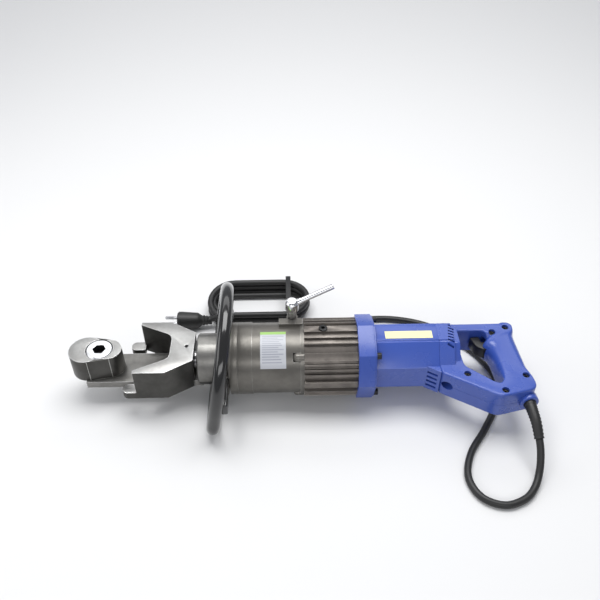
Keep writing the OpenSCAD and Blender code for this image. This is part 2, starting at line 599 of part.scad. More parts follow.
// The side of a ring is carried along the path, so the tube never twists
function carried(p, closed, i = 0, last = [1, 0, 0]) = i >= len(p) ? [] :
    let (d = dir(p, i, closed), s0 = i == 0 ? side(d) : last, s = unit(s0 - (s0 * d) * d))
    concat([s], carried(p, closed, i + 1, s));
module tube(p, r, n, closed = false) {
    m = len(p);
    sides = carried(p, closed);
    pts = [for (i = [0:m - 1]) let (d = dir(p, i, closed), s = sides[i], u = cross(s, d))
        each [for (k = [0:n - 1]) p[i] + r * cos(k * 360 / n) * s + r * sin(k * 360 / n) * u]];
    walls = [for (i = [0:(closed ? m - 1 : m - 2)], k = [0:n - 1])
        [i * n + k, i * n + (k + 1) % n, ((i + 1) % m) * n + (k + 1) % n, ((i + 1) % m) * n + k]];
    ends = closed ? [] : [[for (k = [n - 1:-1:0]) k], [for (k = [0:n - 1]) (m - 1) * n + k]];
    polyhedron(points = pts, faces = concat(walls, ends), convexity = 10);
}
// Catmull-Rom curve through the route, four steps to a span
function curve(p, i, t) = let (a = p[max(i - 1, 0)], b = p[i], c = p[i + 1], d = p[min(i + 2, len(p) - 1)])
    0.5 * (2 * b + (c - a) * t + (2 * a - 5 * b + 4 * c - d) * t * t + (3 * b - a - 3 * c + d) * t * t * t);
function smooth(p, n) = concat([for (i = [0:len(p) - 2], k = [0:n - 1]) curve(p, i, k / n)], [p[len(p) - 1]]);
module cord_boot() color([0.06, 0.06, 0.06]) on_floor() hull() {
    translate([gland_x + 0.4, gland_y - 4, axis_h]) rotate([90, 0, 6]) cylinder(h = 8, r = gland_bore, $fn = 32);
    translate(route[0]) rotate([55, 0, 4]) cylinder(h = 1, r = cord_r + 1.2, $fn = 32);
}
module cord_lead() color([0.07, 0.07, 0.07]) on_floor() tube(smooth(route, 4), cord_r, 8);
module cord_hank() color([0.07, 0.07, 0.07]) on_floor()
    translate([hank_x1 - hank_len, hank_y, hank_z]) linear_extrude(hank_h) {
    translate([hank_w / 2, 0]) circle(r = hank_w / 2);
    translate([hank_len - hank_w / 2, 0]) circle(r = hank_w / 2);
    translate([hank_w / 2, -hank_w / 2]) square([hank_len - hank_w, hank_w]);
}
module cord_tie() color([0.1, 0.1, 0.1]) on_floor() translate([hank_x1 - 34, hank_y, 0]) difference() {
    translate([0, -hank_w / 2 - 2, 0]) cube([7, hank_w + 4, hank_z + hank_h + 1.2]);
    translate([-1, -hank_w / 2, hank_z]) cube([9, hank_w, hank_h]);
}
plug_x1 = hank_x1 - hank_len + 8;
plug_y = hank_y - 33;
module cord_plug() color([0.06, 0.06, 0.06]) on_floor() translate([plug_x1, plug_y, 13]) {
    rod_x(-18, 18, 8, 5.5);
    rod_x(-46, 28, 12.5, 11);
    for (s = [-1, 1]) translate([0, s * 6, 0]) rod_x(-64, 18.01, 2.3);
}

head_frame();
former();
former_screw();
fork();
fork_set_screw();
piston_rod();
piston();
piston_seal();
return_spring();
rod_gland();
wiper_seal();
cylinder_barrel();
front_collar();
loop_handle();
loop_clamp_bolts();
hydraulic_body();
release_valve();
lever_hub();
lever_rod();
fin_housing();
housing_bolts();
oil_plug();
oil_bladder();
pump_block();
pump_plunger();
front_shaft_bearing();
rear_shaft_bearing();
gear_plate();
eccentric_shaft();
eccentric_bearing();
drive_gear();
motor_flange();
flange_screws();
motor_pinion();
armature_shaft();
armature_core();
commutator();
cooling_fan();
front_motor_bearing();
rear_motor_bearing();
stator();
motor_housing();
brushes();
brush_caps();
handle_upper_half();
handle_lower_half();
handle_screws();
trigger();
switch_body();
warning_label();
rating_label();
cord_boot();
cord_lead();
cord_hank();
cord_tie();
cord_plug();
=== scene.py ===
# %% [markdown]
# # A portable hydraulic rebar bender
# The tool is a blue motor and D-handle, a finned pump housing, a steel cylinder body with a black loop handle, and
# a forged fork that pushes the bar round a steel former. The solid model is loaded first and stays as it is; this
# script gives every visible piece its rounded edges, small details and finish.

# %% Load the solid model
import json
import math
import bpy
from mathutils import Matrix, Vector


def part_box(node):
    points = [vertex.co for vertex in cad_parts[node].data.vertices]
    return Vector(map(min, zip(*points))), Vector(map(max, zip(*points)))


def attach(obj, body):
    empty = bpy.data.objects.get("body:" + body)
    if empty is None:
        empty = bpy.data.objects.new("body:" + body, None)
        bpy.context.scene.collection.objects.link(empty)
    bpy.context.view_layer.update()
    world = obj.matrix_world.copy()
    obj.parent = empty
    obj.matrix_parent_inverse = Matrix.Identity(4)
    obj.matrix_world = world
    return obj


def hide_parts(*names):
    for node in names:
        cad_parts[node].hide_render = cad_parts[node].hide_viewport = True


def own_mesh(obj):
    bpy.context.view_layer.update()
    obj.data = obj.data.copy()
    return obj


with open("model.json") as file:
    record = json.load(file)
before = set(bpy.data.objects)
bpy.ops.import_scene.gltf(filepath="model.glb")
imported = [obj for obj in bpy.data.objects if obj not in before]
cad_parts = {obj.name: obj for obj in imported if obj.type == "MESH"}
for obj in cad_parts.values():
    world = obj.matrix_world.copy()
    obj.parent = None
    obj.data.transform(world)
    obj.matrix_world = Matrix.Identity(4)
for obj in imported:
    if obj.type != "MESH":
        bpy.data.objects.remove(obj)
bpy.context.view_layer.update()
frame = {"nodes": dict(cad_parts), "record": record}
nodes = frame["nodes"]
print(len(nodes), "solids loaded")

# %% [markdown]
# The camera stands about 46 degrees above the tool and looks along it from the front. A floor and soft lamps could
# be left to the end, but a light made first shows every finish as it will be seen. A bare white world would flatten
# chrome and gloss paint, so a large lamp overhead and a long one in front give them shapes to reflect.

# %% Camera
camera_data = bpy.data.cameras.new("camera")
camera_data.lens = 42
camera = bpy.data.objects.new("camera", camera_data)
camera.location = (-0.0116, -0.5942, 0.6694)
camera.rotation_euler = (math.radians(48.5), 0, math.radians(-1.5))
bpy.context.scene.collection.objects.link(camera)
bpy.context.scene.camera = camera
bpy.context.scene.view_settings.view_transform = "Standard"
print("camera", tuple(round(v, 3) for v in camera.location))


# %% Floor and lamps
def lamp(name, place, turn, size, power, colour=(1, 1, 1)):
    """A rectangular lamp of size (width, length) in metres."""
    data = bpy.data.lights.new(name, "AREA")
    data.shape = "RECTANGLE"
    data.size, data.size_y = size
    data.energy = power
    data.color = colour
    light = bpy.data.objects.new(name, data)
    light.location = place
    light.rotation_euler = [math.radians(a) for a in turn]
    bpy.context.scene.collection.objects.link(light)


bpy.ops.object.select_all(action="DESELECT")
bpy.ops.mesh.primitive_plane_add(size=6)
floor = bpy.context.object
floor.name = "studio_floor"
floor_paint = bpy.data.materials.new("floor_paint")
floor_paint.use_nodes = True
floor_paint.node_tree.nodes["Principled BSDF"].inputs["Base Color"].default_value = (0.74, 0.74, 0.74, 1)
floor_paint.node_tree.nodes["Principled BSDF"].inputs["Roughness"].default_value = 0.75
floor.data.materials.append(floor_paint)
world = bpy.data.worlds.new("studio")
world.use_nodes = True
world.node_tree.nodes["Background"].inputs[0].default_value = (0.9, 0.93, 1, 1)
world.node_tree.nodes["Background"].inputs[1].default_value = 0.33
bpy.context.scene.world = world
lamp("overhead", (0.05, 0.25, 1.3), (-10, 0, 0), (1.3, 0.7), 17)
lamp("front_strip", (0, -1.1, 0.7), (62, 0, 0), (1.4, 0.3), 4)
lamp("left_side", (-1.1, -0.2, 0.6), (0, -62, 0), (0.5, 0.9), 3)
lamp("floor_behind", (0, 1.7, 1.4), (0, 0, 0), (3, 1.2), 17)
print("floor and four lamps made")

# %% [markdown]
# ## Shared effects
# Real finishes differ from flat colours in a few ways that repeat: fine grain, patches of slightly different shade,
# and bright or dull wear where edges rub. Painting each by hand would be slow and would not follow the shape, so
# each effect is a node group that works from the object's own coordinates and gives back a mask or a height.


# %% Node helpers
def group(name, ins, outs):
    """A node group with float inputs {name: value} and the named outputs [(name, kind)]."""
    tree = bpy.data.node_groups.new(name, "ShaderNodeTree")
    for key, value in ins.items():
        socket = tree.interface.new_socket(key, in_out="INPUT", socket_type="NodeSocketFloat")
        socket.default_value = value
    for key, kind in outs:
        tree.interface.new_socket(key, in_out="OUTPUT", socket_type=kind)
    return tree, tree.nodes.new("NodeGroupInput"), tree.nodes.new("NodeGroupOutput")


def math_node(tree, operation, a, b=None, clamp=False):
    node = tree.nodes.new("ShaderNodeMath")
    node.operation = operation
    node.use_clamp = clamp
    for i, value in enumerate((a, b)):
        if value is None:
            continue
        if isinstance(value, (int, float)):
            node.inputs[i].default_value = value
        else:
            tree.links.new(value, node.inputs[i])
    return node.outputs[0]


def noise_node(tree, vector, scale, detail=4.0, roughness=0.6):
    node = tree.nodes.new("ShaderNodeTexNoise")
    tree.links.new(vector, node.inputs["Vector"])
    for key, value in (("Scale", scale), ("Detail", detail), ("Roughness", roughness)):
        if isinstance(value, (int, float)):
            node.inputs[key].default_value = value
        else:
            tree.links.new(value, node.inputs[key])
    return node.outputs[0]


# %% Grain: fine height and broad patches
grain, g_in, g_out = group("grain", {"Grain scale": 900, "Patch scale": 22}, [("Height", "NodeSocketFloat"),
                                                                               ("Patches", "NodeSocketFloat")])
place = grain.nodes.new("ShaderNodeTexCoord").outputs["Object"]
fine = noise_node(grain, place, g_in.outputs["Grain scale"], 3)
broad = noise_node(grain, place, g_in.outputs["Patch scale"], 6, 0.65)
grain.links.new(fine, g_out.inputs["Height"])
grain.links.new(broad, g_out.inputs["Patches"])
print("group grain made")

# %% Edge wear: a mask that is 1 on worn outer edges
wear, w_in, w_out = group("edge_wear", {"Reach": 0.0012, "Amount": 1.0}, [("Mask", "NodeSocketFloat")])
rounded = wear.nodes.new("ShaderNodeBevel")
rounded.samples = 6
wear.links.new(w_in.outputs["Reach"], rounded.inputs["Radius"])
surface = wear.nodes.new("ShaderNodeNewGeometry")
turn = wear.nodes.new("ShaderNodeVectorMath")
turn.operation = "DOT_PRODUCT"
wear.links.new(rounded.outputs[0], turn.inputs[0])
wear.links.new(surface.outputs["Normal"], turn.inputs[1])
bent = math_node(wear, "SUBTRACT", 0.965, turn.outputs["Value"], clamp=True)
outer = math_node(wear, "MULTIPLY", math_node(wear, "SUBTRACT", surface.outputs["Pointiness"], 0.49, clamp=True), 60,
                  clamp=True)
edge = math_node(wear, "MULTIPLY", math_node(wear, "POWER", bent, 0.6), 3.2)
scratch = noise_node(wear, wear.nodes.new("ShaderNodeTexCoord").outputs["Object"], 160, 5, 0.7)
broken = math_node(wear, "MULTIPLY", edge, math_node(wear, "ADD", scratch, 0.45))
wear.links.new(math_node(wear, "MULTIPLY", math_node(wear, "MULTIPLY", broken, outer), w_in.outputs["Amount"],
                         clamp=True), w_out.inputs["Mask"])
print("group edge_wear made")


# %% [markdown]
# Every finish is the same few layers: a main colour, a second shade in patches, worn edges, a roughness that
# varies with the patches, and a fine bump. One maker builds them all, so that the numbers of each finish can be
# read side by side. Numbers that are the same all over the surface stay on the shader itself.

# %% The maker of finishes
finishes = {}


def finish(name, colour, shade, rough, metal=0.0, worn=None, wear_amount=1.0, reach=0.0012, grain_scale=900,
           patch_scale=22, bump=0.1, coat=0.0, spread=0.12, depth=0.0002):
    """A layered finish. colour and shade mix in patches, worn is the colour of rubbed edges."""
    material = bpy.data.materials.new(name)
    material.use_nodes = True
    tree = material.node_tree
    shader = tree.nodes["Principled BSDF"]
    effect = tree.nodes.new("ShaderNodeGroup")
    effect.node_tree = grain
    effect.inputs["Grain scale"].default_value = grain_scale
    effect.inputs["Patch scale"].default_value = patch_scale
    blend = tree.nodes.new("ShaderNodeMix")
    blend.data_type = "RGBA"
    blend.inputs["A"].default_value = (*colour, 1)
    blend.inputs["B"].default_value = (*shade, 1)
    spot = math_node(tree, "MULTIPLY", math_node(tree, "SUBTRACT", effect.outputs["Patches"], 0.38), 3.2, clamp=True)
    tree.links.new(spot, blend.inputs["Factor"])
    top = blend.outputs["Result"]
    roughness = math_node(tree, "ADD", math_node(tree, "MULTIPLY", effect.outputs["Patches"], spread * 2),
                          rough - spread, clamp=True)
    if worn:
        mask = tree.nodes.new("ShaderNodeGroup")
        mask.node_tree = wear
        mask.inputs["Reach"].default_value = reach
        mask.inputs["Amount"].default_value = wear_amount
        over = tree.nodes.new("ShaderNodeMix")
        over.data_type = "RGBA"
        tree.links.new(mask.outputs["Mask"], over.inputs["Factor"])
        tree.links.new(top, over.inputs["A"])
        over.inputs["B"].default_value = (*worn, 1)
        top = over.outputs["Result"]
        roughness = math_node(tree, "SUBTRACT", roughness, math_node(tree, "MULTIPLY", mask.outputs["Mask"], 0.1))
    tree.links.new(top, shader.inputs["Base Color"])
    tree.links.new(roughness, shader.inputs["Roughness"])
    shader.inputs["Metallic"].default_value = metal
    shader.inputs["Coat Weight"].default_value = coat
    shader.inputs["Coat Roughness"].default_value = 0.12
    relief = tree.nodes.new("ShaderNodeBump")
    relief.inputs["Strength"].default_value = bump
    relief.inputs["Distance"].default_value = depth
    tree.links.new(effect.outputs["Height"], relief.inputs["Height"])
    tree.links.new(relief.outputs[0], shader.inputs["Normal"])
    finishes[name] = material
    return material


finish("forged_steel", (0.27, 0.265, 0.25), (0.19, 0.185, 0.175), 0.4, 1, (0.85, 0.85, 0.84), 1, 0.0014, 1400, 40, 0.5)
finish("satin_steel", (0.43, 0.43, 0.42), (0.33, 0.325, 0.315), 0.36, 1, (0.9, 0.9, 0.89), 1, 0.0016, 1700, 45, 0.45)
# A darker steel for faces that don't look up: painted shade, not a colour of the steel itself.
finish("painted_shade_steel", (0.085, 0.083, 0.078), (0.055, 0.054, 0.05), 0.4, 0.9, (0.6, 0.6, 0.58), 0.8,
       0.0012, 900, 35, 0.3)
finish("bright_zinc", (0.93, 0.93, 0.93), (0.8, 0.81, 0.82), 0.26, 1, bump=0.04)
finish("hard_chrome", (0.8, 0.8, 0.81), (0.62, 0.62, 0.64), 0.13, 1, bump=0.03, spread=0.05)
finish("grey_casting", (0.165, 0.156, 0.14), (0.115, 0.109, 0.098), 0.34, 0.6, (0.4, 0.39, 0.37), 0.8, 0.001, 700, 30,
       0.12)
finish("fin_aluminium", (0.185, 0.166, 0.15), (0.125, 0.112, 0.1), 0.42, 0.75, (0.5, 0.47, 0.43), 0.6,
       0.0008, 900, 60, 0.2)
finish("blue_plastic", (0.04, 0.088, 0.4), (0.035, 0.077, 0.36), 0.27, 0, grain_scale=1500, patch_scale=12, bump=0.1,
       coat=0.3)
finish("black_gloss", (0.01, 0.01, 0.01), (0.014, 0.014, 0.014), 0.14, 0, (0.05, 0.05, 0.05), 0.5, 0.001, 300, 12, 0.03,
       0.5, 0.04)
finish("black_steel", (0.028, 0.028, 0.03), (0.018, 0.018, 0.018), 0.38, 0.6, (0.2, 0.2, 0.2), 0.6, 0.0006, bump=0.1)
finish("black_plastic", (0.012, 0.012, 0.013), (0.008, 0.008, 0.008), 0.42, 0, grain_scale=1300, bump=0.2)
finish("black_rubber", (0.01, 0.01, 0.01), (0.016, 0.016, 0.016), 0.46, 0, grain_scale=800, bump=0.15)
finish("bearing_steel", (0.6, 0.61, 0.62), (0.5, 0.5, 0.51), 0.25, 1, (0.9, 0.9, 0.9), 0.5, 0.0005, 500, 40, 0.05)
finish("bronze", (0.6, 0.43, 0.19), (0.48, 0.33, 0.14), 0.3, 1, bump=0.06)
finish("copper", (0.75, 0.38, 0.22), (0.6, 0.28, 0.15), 0.32, 1, bump=0.06)
finish("laminated_steel", (0.3, 0.28, 0.27), (0.2, 0.18, 0.17), 0.45, 0.9, bump=0.3)
finish("cast_aluminium", (0.55, 0.55, 0.53), (0.42, 0.42, 0.4), 0.42, 1, bump=0.4)
print(len(finishes), "finishes made")
finish("label_yellow", (0.88, 0.83, 0.46), (0.84, 0.79, 0.42), 0.45, bump=0.03)

# %% [markdown]
# ## The mains lead
# A lead is a fixed length of soft cable, so it is drawn as one curve with its true length: out of the handle, down
# to the floor, round behind the tool, and then turn on turn into the hank that the tie holds. The hank lies where
# its solid is, three layers high. A simulation could drop it, but a drawn route is the same every time.


# %% Route helpers
def smooth_route(points, steps):
    """Points on a Catmull-Rom curve through the given ones."""
    points = [Vector(p) for p in points]
    last = len(points) - 1
    route = []
    for i in range(last):
        a, b, c, d = points[max(i - 1, 0)], points[i], points[i + 1], points[min(i + 2, last)]
        for k in range(steps):
            t = k / steps
            route.append(0.5 * (2 * b + (c - a) * t + (2 * a - 5 * b + 4 * c - d) * t * t
                                + (3 * b - a - 3 * c + d) * t * t * t))
    return route + [points[-1]]


def tube(name, points, radius, closed=False, sides=4):
    """A round tube along the points, as a curve."""
    data = bpy.data.curves.new(name, "CURVE")
    data.dimensions = "3D"
    data.bevel_depth = radius
    data.bevel_resolution = sides
    data.use_fill_caps = not closed
    line = data.splines.new("POLY")
    line.points.add(len(points) - 1)
    for point, p in zip(line.points, points):
        point.co = (*p, 1)
    line.use_cyclic_u = closed
    line.use_smooth = True
    piece = bpy.data.objects.new(name, data)
    bpy.context.scene.collection.objects.link(piece)
    return piece


# %% The lead and its hank
mm = 0.001
hank_low, hank_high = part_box("cord_hank")
gland_x = hank_high.x + 242 * mm
hank_mid = (hank_low + hank_high) / 2
lead_r = 4.2 * mm
lead_route = [(4, -119, 36), (5, -129, 26), (3, -143, 13), (-5, -160, 5.4), (-20, -175, 4.4), (-44, -182, 4.4),
              (-67, -171, 4.4), (-76, -145, 4.4), (-66, -113, 4.4), (-43, -80, 4.4), (-22, -44, 4.4), (-11, -6, 4.4),
              (-20, 30, 4.4), (-43, 64, 4.4), (-80, 98, 4.4), (-130, 114, 4.4), (-185, 113, 4.4), (-242, 108, 4.4)]
lead = smooth_route([(gland_x + x * mm, y * mm, z * mm) for x, y, z in lead_route], 6)
layers = [hank_low.z + lead_r + i * 2 * lead_r for i in range(3)]
half_run = (hank_high.x - hank_low.x - 77 * mm) / 2
# for each run, its distance from the middle line and its layer; runs alternate near side, far side
runs = [(34, 0), (34, 0), (25.5, 0), (25.5, 0), (25.5, 1), (34, 1), (34, 1), (34, 2), (34, 2)]
hank = []
for i, (half, layer) in enumerate(runs):
    side = -1 if i % 2 == 0 else 1
    for t in (0.0, 0.5, 1.0):
        hank.append(Vector((hank_mid.x + side * (2 * t - 1) * half_run, hank_mid.y + side * half * mm,
                            layers[layer])))
    if i + 1 < len(runs):
        after, next_layer = runs[i + 1]
        radius, middle = (half + after) / 2 * mm, side * (half - after) / 2 * mm
        for k in range(1, 16):
            a = math.pi * k / 16
            z = layers[layer] + (layers[next_layer] - layers[layer]) * (1 - math.cos(a)) / 2
            hank.append(Vector((hank_mid.x + side * (half_run + radius * math.sin(a)),
                                hank_mid.y + middle + side * radius * math.cos(a), z)))
plug_low, plug_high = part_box("cord_plug")
plug_y = (plug_low.y + plug_high.y) / 2
plug_z = (plug_low.z + plug_high.z) / 2
tail = smooth_route([hank[-1], hank[-1] + Vector((-0.012, 0, -0.0005)), (plug_high.x + 0.004, plug_y, plug_z + 0.004),
                     (plug_high.x - 0.006, plug_y, plug_z)], 4)
lead_path = lead + hank[1:] + tail[1:]
lead_cable = tube("mains_lead", lead_path, lead_r)
lead_cable.data.materials.append(finishes["black_rubber"])
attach(lead_cable, "frame")
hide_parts("cord_lead", "cord_hank")
print("lead", round(sum((b - a).length for a, b in zip(lead_path, lead_path[1:])), 3), "m long")

# %% [markdown]
# ## Modelling helpers
# Most pieces start as a primitive that is shaped in edit mode. The solids' own meshes are never touched; where a
# solid's shape is right but its edges are knife sharp, a merged copy of it gets rounded edges and stands in its
# place. Rounded edges matter more than any texture, because they catch the light as real castings do.


# %% Helpers for selecting, copying and rounding
def clear():
    if bpy.context.object and bpy.context.object.mode != "OBJECT":
        bpy.ops.object.mode_set(mode="OBJECT")
    bpy.ops.object.select_all(action="DESELECT")


def only(piece):
    clear()
    piece.select_set(True)
    bpy.context.view_layer.objects.active = piece


def apply(piece, kind, **settings):
    """Adds a modifier and applies it at once."""
    only(piece)
    modifier = piece.modifiers.new(kind.lower(), kind)
    for key, value in settings.items():
        setattr(modifier, key, value)
    bpy.ops.object.modifier_apply(modifier=modifier.name)


def tidy_mesh(piece, dissolve=None):
    only(piece)
    bpy.ops.object.mode_set(mode="EDIT")
    bpy.ops.mesh.select_all(action="SELECT")
    bpy.ops.mesh.remove_doubles(threshold=1e-5)
    if dissolve:
        bpy.ops.mesh.dissolve_limited(angle_limit=math.radians(dissolve))
    bpy.ops.mesh.normals_make_consistent(inside=False)
    bpy.ops.object.mode_set(mode="OBJECT")


def round_edges(piece, width, steps=2, angle=32):
    apply(piece, "BEVEL", width=width * mm, segments=steps, limit_method="ANGLE", angle_limit=math.radians(angle),
          use_clamp_overlap=True, harden_normals=False)


def complete(piece, name, material, body, *replaced, smooth=38):
    """Names a piece, shades it, gives it its finish and its body."""
    only(piece)
    bpy.ops.object.transform_apply(location=True, rotation=True, scale=True)
    bpy.ops.object.shade_smooth_by_angle(angle=math.radians(smooth))
    piece.name = piece.data.name = name
    piece.data.materials.clear()
    piece.data.materials.append(finishes[material])
    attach(piece, body)
    if replaced:
        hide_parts(*replaced)
    print(name, len(piece.data.polygons), "faces")
    return piece


def rounded_copy(node, name, material, body, width, steps=2, angle=32):
    """A merged copy of a solid, with rounded edges, in its place."""
    piece = bpy.data.objects.new(name, nodes[node].data.copy())
    bpy.context.scene.collection.objects.link(piece)
    only(piece)
    if piece.data.has_custom_normals:
        bpy.ops.mesh.customdata_custom_splitnormals_clear()
    tidy_mesh(piece, 0.6)
    round_edges(piece, width, steps, angle)
    return complete(piece, name, material, body, node)


def turned(name, profile, place, turn=(0, 0, 0), steps=48):
    """A piece turned on a lathe. profile is a closed outline of (radius, height) in millimetres."""
    clear()
    bpy.ops.mesh.primitive_circle_add(vertices=len(profile), radius=mm)
    piece = bpy.context.object
    for vertex, (radius, height) in zip(piece.data.vertices, profile):
        vertex.co = (radius * mm, 0, height * mm)
    bpy.ops.object.mode_set(mode="EDIT")
    bpy.ops.mesh.select_all(action="SELECT")
    bpy.ops.mesh.spin(steps=steps, angle=2 * math.pi, center=(0, 0, 0), axis=(0, 0, 1))
    bpy.ops.mesh.select_all(action="SELECT")
    bpy.ops.mesh.remove_doubles(threshold=1e-6)
    bpy.ops.mesh.dissolve_degenerate(threshold=1e-6)
    bpy.ops.mesh.select_all(action="SELECT")
    bpy.ops.mesh.normals_make_consistent(inside=False)
    bpy.ops.object.mode_set(mode="OBJECT")
    piece.location = place
    piece.rotation_euler = [math.radians(a) for a in turn]
    bpy.ops.object.transform_apply(location=True, rotation=True, scale=True)
    return piece


# %% [markdown]
# ## Cord fittings
# A strain relief is a tapered rubber sleeve with ring grooves, so that the lead bends gently where it leaves the
# handle. A cone would miss the rings. It is lofted along a short curve, with its radius going up and down. The plug
# is turned on a lathe, and its pins are turned too.

# %% Strain relief boot
boot_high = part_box("cord_boot")[1]
axis_z = (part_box("cylinder_barrel")[0].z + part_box("cylinder_barrel")[1].z) / 2
boot_path = smooth_route([(gland_x + 0.0004, boot_high.y - 0.004, axis_z), (gland_x + 0.0012, -0.088, axis_z - 0.001),
                          (gland_x + 0.0028, -0.104, axis_z - 0.0056), lead[0], lead[2]], 9)
clear()
bpy.ops.mesh.primitive_circle_add(vertices=28, radius=7.3 * mm)
boot = bpy.context.object
rings = len(boot_path) - 9
for i in range(rings):
    if i:
        bpy.ops.object.mode_set(mode="EDIT")
        bpy.ops.mesh.extrude_edges_move()
        bpy.ops.object.mode_set(mode="OBJECT")
    along = (boot_path[min(i + 1, rings - 1)] - boot_path[max(i - 1, 0)]).normalized()
    across = along.cross(Vector((1, 0, 0))).normalized()
    up = across.cross(along)
    part = i / (rings - 1)
    radius = (7.3 + (5.6 - 7.3) * part) * mm
    if 0.2 < part < 0.95 and i % 2:
        radius -= 0.7 * mm
    ring = [v for v in boot.data.vertices if v.select]
    for k, vertex in enumerate(ring):
        a = 2 * math.pi * k / len(ring)
        vertex.co = boot_path[i] + radius * (math.cos(a) * across + math.sin(a) * up)
bpy.ops.object.mode_set(mode="EDIT")
bpy.ops.mesh.edge_face_add()
bpy.ops.object.mode_set(mode="OBJECT")
tidy_mesh(boot)
boot = complete(boot, "cord_strain_relief", "black_rubber", "frame", "cord_boot", smooth=60)

# %% Plug
plug = turned("plug", [(0, 0), (0, 46), (5.4, 46), (6, 43), (5.2, 41.5), (6.6, 39.5), (5.8, 37.5), (7.2, 35.5),
                       (6.4, 33.5), (7.8, 31), (9.5, 29), (10.6, 27), (11, 22), (12.4, 6), (12.4, 1.6), (11, 0)],
              (plug_low.x + 18 * mm, plug_y, plug_z), (0, 90, 0), 40)
plug = complete(plug, "mains_plug", "black_rubber", "frame")
for side in (-1, 1):
    pin = turned("pin", [(0, -1), (0, 18), (1.5, 18), (2.3, 16.8), (2.3, -1)],
                 (plug_low.x + 18 * mm, plug_y + side * 6 * mm, plug_z), (0, -90, 0), 24)
    complete(pin, "plug_pin_" + ("near" if side < 0 else "far"), "bearing_steel", "frame")
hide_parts("cord_plug")

# %% Tie round the hank
tie = rounded_copy("cord_tie", "hank_tie", "black_plastic", "frame", 0.5)

# %% [markdown]
# ## The bending head
# The fork, the base plate and the former are forged or machined steel, shot-blasted grey, and their edges are
# polished bright by the bars that slide over them. Their solids already have the right shape, so merged copies get
# rounded edges, and the worn-edge mask of the finish does the rest.

# %% Fork, base plate, former and its screw
def painted_shade_sides(piece, limit=0.45):
    """Faces that don't look up get a darker steel: painted shade on the sides and underside, away from the overhead
    light.
    """
    piece.data.materials.append(finishes["painted_shade_steel"])
    for face in piece.data.polygons:
        if face.normal.z < limit:
            face.material_index = 1


fork = rounded_copy("fork", "bending_fork", "satin_steel", "ram", 1.3, 3)
# Faces of the fork, base plate and former that don't look up are set darker: painted shade.
painted_shade_sides(fork)
rounded_copy("fork_set_screw", "fork_set_screw_part", "black_steel", "ram", 0.3)
painted_shade_sides(rounded_copy("head_frame", "base_plate_and_neck", "forged_steel", "frame", 1.1, 3), -0.3)
painted_shade_sides(rounded_copy("former", "bending_former", "satin_steel", "former", 0.9, 3, 50))
screw = rounded_copy("former_screw", "former_screw_part", "bright_zinc", "frame", 0.35)
# The faces inside the socket get black steel: painted shade in the socket's recess.
screw.data.materials.append(finishes["black_steel"])
screw_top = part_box("former_screw")[1]
screw_mid = (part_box("former_screw")[0] + screw_top) / 2
for face in screw.data.polygons:
    away = math.hypot(face.center.x - screw_mid.x, face.center.y - screw_mid.y)
    if away < 8.5 * mm and face.center.z < screw_top.z - 1.5 * mm:
        face.material_index = 1

# %% [markdown]
# ## Loop handle
# The loop is black enamelled tube bent to an arc, closed by a straight bar and held by a lug on each side. A torus
# has the wrong shape, so the same centre line as the solid's is followed by a smooth tube.

# %% Loop handle and its bolts
collar_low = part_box("front_collar")[0]
loop_r, tube_r = 85.0, 7.75
bar_z = -(axis_z / mm - tube_r)
corner_y, corner_r = loop_r * math.cos(math.radians(6)), 22
half_loop = [(loop_r * math.cos(math.radians(a)), loop_r * math.sin(math.radians(a))) for a in range(90, -7, -4)]
half_loop += [(corner_y - corner_r + corner_r * math.cos(math.radians(a)),
               bar_z + corner_r - corner_r * math.sin(math.radians(a))) for a in range(0, 91, 10)]
half_loop += [(40, bar_z), (20, bar_z), (0, bar_z)]
loop_line = half_loop + [(-y, z) for y, z in reversed(half_loop[1:-1])]
lean_x = collar_low.x - 14 * mm
loop = tube("loop", [(lean_x + z * mm * math.tan(math.radians(9.5)), y * mm, axis_z + z * mm) for y, z in loop_line],
            tube_r * mm, closed=True, sides=7)
only(loop)
bpy.ops.object.convert(target="MESH")
loop = bpy.context.object
complete(loop, "loop_handle_tube", "black_gloss", "frame", "loop_handle", smooth=60)
for side in (-1, 1):
    clear()
    bpy.ops.mesh.primitive_cube_add(size=1, location=(collar_low.x - 4 * mm, side * 60 * mm, axis_z))
    lug = bpy.context.object
    lug.scale = (8 * mm, 44 * mm, 16 * mm)
    bpy.ops.object.transform_apply(scale=True)
    round_edges(lug, 2.2, 3)
    complete(lug, "loop_lug_" + ("near" if side < 0 else "far"), "black_gloss", "frame")
rounded_copy("loop_clamp_bolts", "loop_clamp_bolt_pair", "black_steel", "frame", 0.6)

# %% [markdown]
# ## Cylinder body and pump housing
# Both are castings, one painted warm grey and the other ribbed for cooling. The ribs' tops are rubbed light and the
# grooves stay dark, which rounded edges and the wear mask give without painting.

# %% Collar, body, pump housing and their bolts
rounded_copy("front_collar", "front_collar_ring", "grey_casting", "frame", 0.8)
rounded_copy("hydraulic_body", "hydraulic_body_casting", "grey_casting", "frame", 0.8, 3)
rounded_copy("fin_housing", "pump_housing_ribbed", "fin_aluminium", "frame", 0.35)
bolts_low, bolts_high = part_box("housing_bolts")
head_r, head_len, shank_r, shank_len = 5.7, 5.5, 2.45, 9
bolt_ring = (bolts_high.z - axis_z) / mm - head_r
dome = [(0, -shank_len), (shank_r, -shank_len), (shank_r, -0.3)]
for degrees in range(0, 76, 15):
    t = math.radians(degrees)
    dome.append(((head_r + 0.1) * math.cos(t) ** 0.6, head_len * math.sin(t) ** 0.8))
dome.append((0, head_len))
for i, (sy, sz) in enumerate(((1, 1), (1, -1), (-1, -1), (-1, 1))):
    place = (bolts_low.x + head_len * mm, sy * bolt_ring * mm, axis_z + sz * bolt_ring * mm)
    bolt = turned("bolt", dome, place, (0, -90, 0), 32)
    bolt = complete(bolt, "housing_bolt_%d" % (i + 1), "grey_casting", "frame")
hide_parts("housing_bolts")
rounded_copy("oil_plug", "oil_filler_plug", "black_steel", "frame", 0.4)
